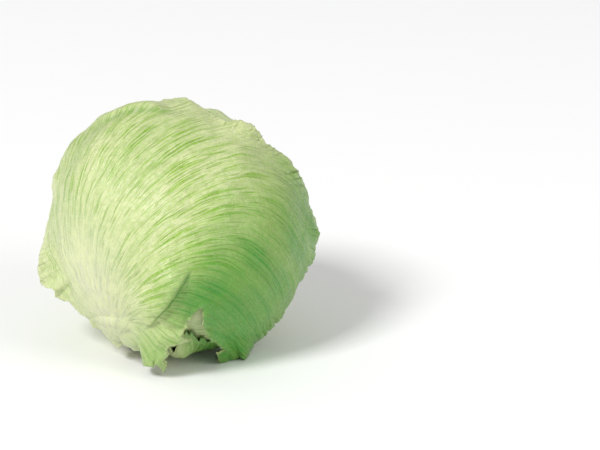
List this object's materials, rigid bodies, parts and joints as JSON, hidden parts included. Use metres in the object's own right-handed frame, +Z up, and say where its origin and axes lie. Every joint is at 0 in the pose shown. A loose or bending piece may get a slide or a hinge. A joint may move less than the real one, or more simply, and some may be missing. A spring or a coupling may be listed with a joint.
{
  "type": "iceberg lettuce head",
  "caption": "Whole crisp lettuce head lying on its side: wrapper leaves with ragged, waved margins closed round a packed heart on a cut stem.",
  "frame": {"origin": "on the table, under the middle of the head's bounding box", "axes": "+Z up, away from the table; -Y is the front that the picture shows; +X is to the right there. The crown points up, back and to the right, and the stem points down, forward and to the left"},
  "size_m": [0.1648, 0.1585, 0.1508],
  "materials": {
    "stem": "matt, pale cut stem, slightly browned at the cut",
    "heart": "satin, pale yellow-green",
    "inner_leaf": "satin, pale green with whitish veins",
    "outer_leaf": "satin, light green, darker towards the margin, with a cream midrib and whitish veins"
  },
  "bodies": {
    "root": {"stem": "stem", "heart": "heart", "inner_leaf_left": "inner_leaf", "inner_leaf_back": "inner_leaf", "inner_leaf_right": "inner_leaf", "outer_leaf_left": "outer_leaf", "outer_leaf_back": "outer_leaf", "front_leaf": "outer_leaf"}
  },
  "joints": []
}
